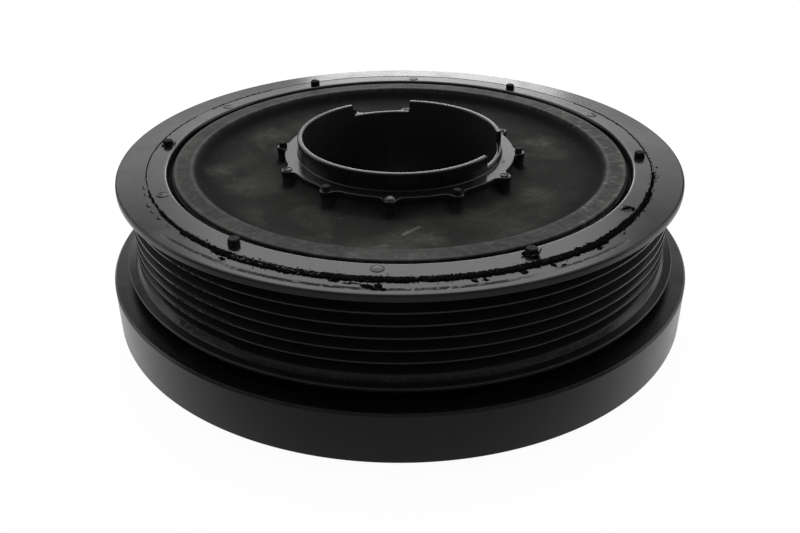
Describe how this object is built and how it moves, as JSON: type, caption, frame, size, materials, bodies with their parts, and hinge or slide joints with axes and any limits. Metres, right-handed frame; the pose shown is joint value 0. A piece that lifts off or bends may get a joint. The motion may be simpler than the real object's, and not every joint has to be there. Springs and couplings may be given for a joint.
{
  "type": "harmonic balancer",
  "caption": "Crankshaft torsional damper: ribbed belt rim hung on a rubber coupling above a wide inertia ring, with a notched inner sleeve and pegged rubber membrane.",
  "frame": {"origin": "centre of the hub's crankshaft face, on the axis of rotation", "axes": "+Z along the axis of rotation, away from the crankshaft, towards the notched collar"},
  "size_m": [0.181, 0.181, 0.0519],
  "materials": {
    "coated_steel": "semi-gloss black electro-coat",
    "coated_iron": "semi-gloss black coat on turned cast iron",
    "damper_rubber": "matte black",
    "coupling_rubber": "matte black with grey handling dust and scuffs",
    "bush_plastic": "dark bearing plastic",
    "sealant": "glossy black, rough set"
  },
  "bodies": {
    "root": {"crank_hub": "coated_steel", "damper_rubber": "damper_rubber", "inertia_ring": "coated_iron", "bearing_bush": "bush_plastic", "pulley_rim": "coated_steel", "coupling_outer_ring": "coated_steel", "coupling_membrane": "coupling_rubber", "inner_sleeve": "coated_steel", "seam_sealant": "sealant"}
  },
  "joints": []
}
